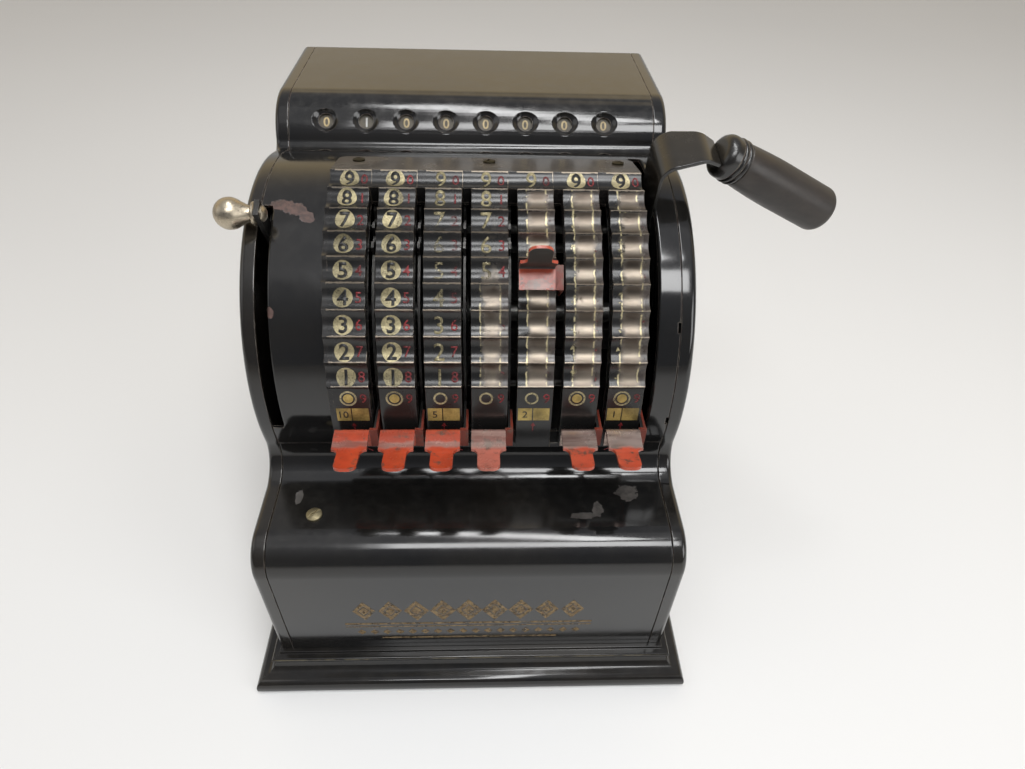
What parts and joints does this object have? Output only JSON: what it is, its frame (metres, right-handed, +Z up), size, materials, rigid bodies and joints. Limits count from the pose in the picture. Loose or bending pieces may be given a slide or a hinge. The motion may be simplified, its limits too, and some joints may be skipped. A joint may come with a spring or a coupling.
{
  "type": "mechanical adding machine",
  "caption": "Desk adding machine: black sheet-metal case on a moulded base, scalloped key plate with slotted finger levers, number windows, pull handle and clear knob.",
  "frame": {"origin": "centre of the underside of the base, on the table", "axes": "+X to the operator's right, +Y to the back of the machine, +Z up; the keyboard faces -Y"},
  "size_m": [0.2672, 0.273, 0.23],
  "materials": {
    "japan_black": "gloss black japan with worn edges",
    "base_black": "ebonised moulding, gloss black",
    "steel": "plain steel, lightly oiled",
    "key_enamel": "black enamel worn to bright tin on the ridges",
    "screw_brass": "dull brass",
    "handle_black": "gloss black",
    "nickel": "worn nickel plate",
    "grip_wood": "dark stained turned wood",
    "finger_red": "orange-red paint worn to metal at the edges",
    "brass": "cut brass",
    "wheel_black": "matt black with tan figures"
  },
  "bodies": {
    "case": {"base_frame": "base_black", "bottom_plate": "steel", "side_panel_left": "japan_black", "side_panel_right": "japan_black", "rear_panel": "japan_black", "lower_front_panel": "japan_black", "arc_panel": "japan_black", "register_hood": "japan_black", "keyboard_plate": "key_enamel", "keyboard_screws": "screw_brass", "ledge_screw": "screw_brass", "frame_left": "steel", "frame_right": "steel", "tie_rods": "steel", "main_shaft": "steel", "guide_comb": "steel"},
    "handle": {"handle_arm": "handle_black", "handle_ferrule": "nickel", "handle_grip": "grip_wood", "handle_crank": "steel", "restoring_bail": "steel"},
    "clear_lever": {"clear_lever": "steel", "clear_knob": "nickel", "clear_rivet": "nickel"},
    "register_shaft": {"register_shaft": "steel", "clear_pinion": "steel"},
    "carry_rocker": {"carry_rocker": "steel"},
    "finger_lever_1": {"sector_lever_1": "steel", "finger_tab_1": "finger_red"},
    "finger_lever_2": {"sector_lever_2": "steel", "finger_tab_2": "finger_red"},
    "finger_lever_3": {"sector_lever_3": "steel", "finger_tab_3": "finger_red"},
    "finger_lever_4": {"sector_lever_4": "steel", "finger_tab_4": "finger_red"},
    "finger_lever_5": {"sector_lever_5": "steel", "finger_tab_5": "finger_red"},
    "finger_lever_6": {"sector_lever_6": "steel", "finger_tab_6": "finger_red"},
    "finger_lever_7": {"sector_lever_7": "steel", "finger_tab_7": "finger_red"},
    "drive_gear_1": {"drive_gear_1": "brass"},
    "drive_gear_2": {"drive_gear_2": "brass"},
    "drive_gear_3": {"drive_gear_3": "brass"},
    "drive_gear_4": {"drive_gear_4": "brass"},
    "drive_gear_5": {"drive_gear_5": "brass"},
    "drive_gear_6": {"drive_gear_6": "brass"},
    "drive_gear_7": {"drive_gear_7": "brass"},
    "number_wheel_1": {"number_wheel_1": "wheel_black"},
    "number_wheel_2": {"number_wheel_2": "wheel_black"},
    "number_wheel_3": {"number_wheel_3": "wheel_black"},
    "number_wheel_4": {"number_wheel_4": "wheel_black"},
    "number_wheel_5": {"number_wheel_5": "wheel_black"},
    "number_wheel_6": {"number_wheel_6": "wheel_black"},
    "number_wheel_7": {"number_wheel_7": "wheel_black"},
    "number_wheel_8": {"number_wheel_8": "wheel_black"}
  },
  "joints": [
    {"name": "handle_pull", "type": "hinge", "parent": "case", "child": "handle", "pos_m": [0, 0.005, 0.1275], "axis": [1, 0, 0], "range_deg": [0, 66], "stiffness_Nm_per_rad": 0.6, "springref_deg": -28.65},
    {"name": "clear_pull", "type": "hinge", "parent": "case", "child": "clear_lever", "pos_m": [0, 0.005, 0.1275], "axis": [1, 0, 0], "range_deg": [0, 60]},
    {"name": "register_turn", "type": "hinge", "parent": "case", "child": "register_shaft", "pos_m": [0, 0.0552, 0.20038], "axis": [1, 0, 0], "range_deg": [-307.2, 0]},
    {"name": "carry_rock", "type": "hinge", "parent": "case", "child": "carry_rocker", "pos_m": [0, 0.081, 0.1825], "axis": [1, 0, 0], "range_deg": [0, 6.6]},
    {"name": "finger_lift_1", "type": "hinge", "parent": "case", "child": "finger_lever_1", "pos_m": [0, 0.005, 0.1275], "axis": [-1, 0, 0], "range_deg": [0, 66]},
    {"name": "gear_turn_1", "type": "hinge", "parent": "case", "child": "drive_gear_1", "pos_m": [0, 0.0552, 0.20038], "axis": [-1, 0, 0], "range_deg": [-337.92, 0]},
    {"name": "finger_lift_2", "type": "hinge", "parent": "case", "child": "finger_lever_2", "pos_m": [0, 0.005, 0.1275], "axis": [-1, 0, 0], "range_deg": [0, 66]},
    {"name": "gear_turn_2", "type": "hinge", "parent": "case", "child": "drive_gear_2", "pos_m": [0, 0.0552, 0.20038], "axis": [-1, 0, 0], "range_deg": [-337.92, 0]},
    {"name": "finger_lift_3", "type": "hinge", "parent": "case", "child": "finger_lever_3", "pos_m": [0, 0.005, 0.1275], "axis": [-1, 0, 0], "range_deg": [0, 66]},
    {"name": "gear_turn_3", "type": "hinge", "parent": "case", "child": "drive_gear_3", "pos_m": [0, 0.0552, 0.20038], "axis": [-1, 0, 0], "range_deg": [-337.92, 0]},
    {"name": "finger_lift_4", "type": "hinge", "parent": "case", "child": "finger_lever_4", "pos_m": [0, 0.005, 0.1275], "axis": [-1, 0, 0], "range_deg": [0, 66]},
    {"name": "gear_turn_4", "type": "hinge", "parent": "case", "child": "drive_gear_4", "pos_m": [0, 0.0552, 0.20038], "axis": [-1, 0, 0], "range_deg": [-337.92, 0]},
    {"name": "finger_lift_5", "type": "hinge", "parent": "case", "child": "finger_lever_5", "pos_m": [0, 0.005, 0.1275], "axis": [-1, 0, 0], "range_deg": [-45, 21]},
    {"name": "gear_turn_5", "type": "hinge", "parent": "case", "child": "drive_gear_5", "pos_m": [0, 0.0552, 0.20038], "axis": [-1, 0, 0], "range_deg": [-107.52, 230.4]},
    {"name": "finger_lift_6", "type": "hinge", "parent": "case", "child": "finger_lever_6", "pos_m": [0, 0.005, 0.1275], "axis": [-1, 0, 0], "range_deg": [0, 66]},
    {"name": "gear_turn_6", "type": "hinge", "parent": "case", "child": "drive_gear_6", "pos_m": [0, 0.0552, 0.20038], "axis": [-1, 0, 0], "range_deg": [-337.92, 0]},
    {"name": "finger_lift_7", "type": "hinge", "parent": "case", "child": "finger_lever_7", "pos_m": [0, 0.005, 0.1275], "axis": [-1, 0, 0], "range_deg": [0, 66]},
    {"name": "gear_turn_7", "type": "hinge", "parent": "case", "child": "drive_gear_7", "pos_m": [0, 0.0552, 0.20038], "axis": [-1, 0, 0], "range_deg": [-337.92, 0]},
    {"name": "wheel_spin_1", "type": "hinge", "parent": "case", "child": "number_wheel_1", "pos_m": [0, 0.0552, 0.20038], "axis": [-1, 0, 0], "continuous": true},
    {"name": "wheel_spin_2", "type": "hinge", "parent": "case", "child": "number_wheel_2", "pos_m": [0, 0.0552, 0.20038], "axis": [-1, 0, 0], "continuous": true},
    {"name": "wheel_spin_3", "type": "hinge", "parent": "case", "child": "number_wheel_3", "pos_m": [0, 0.0552, 0.20038], "axis": [-1, 0, 0], "continuous": true},
    {"name": "wheel_spin_4", "type": "hinge", "parent": "case", "child": "number_wheel_4", "pos_m": [0, 0.0552, 0.20038], "axis": [-1, 0, 0], "continuous": true},
    {"name": "wheel_spin_5", "type": "hinge", "parent": "case", "child": "number_wheel_5", "pos_m": [0, 0.0552, 0.20038], "axis": [-1, 0, 0], "continuous": true},
    {"name": "wheel_spin_6", "type": "hinge", "parent": "case", "child": "number_wheel_6", "pos_m": [0, 0.0552, 0.20038], "axis": [-1, 0, 0], "continuous": true},
    {"name": "wheel_spin_7", "type": "hinge", "parent": "case", "child": "number_wheel_7", "pos_m": [0, 0.0552, 0.20038], "axis": [-1, 0, 0], "continuous": true},
    {"name": "wheel_spin_8", "type": "hinge", "parent": "case", "child": "number_wheel_8", "pos_m": [0, 0.0552, 0.20038], "axis": [-1, 0, 0], "continuous": true}
  ],
  "couplings": [
    {"joint": "register_turn", "follows": "clear_pull", "ratio": -5.12},
    {"joint": "carry_rock", "follows": "handle_pull", "ratio": 0.1},
    {"joint": "gear_turn_1", "follows": "finger_lift_1", "ratio": -5.12},
    {"joint": "gear_turn_2", "follows": "finger_lift_2", "ratio": -5.12},
    {"joint": "gear_turn_3", "follows": "finger_lift_3", "ratio": -5.12},
    {"joint": "gear_turn_4", "follows": "finger_lift_4", "ratio": -5.12},
    {"joint": "gear_turn_5", "follows": "finger_lift_5", "ratio": -5.12},
    {"joint": "gear_turn_6", "follows": "finger_lift_6", "ratio": -5.12},
    {"joint": "gear_turn_7", "follows": "finger_lift_7", "ratio": -5.12}
  ]
}
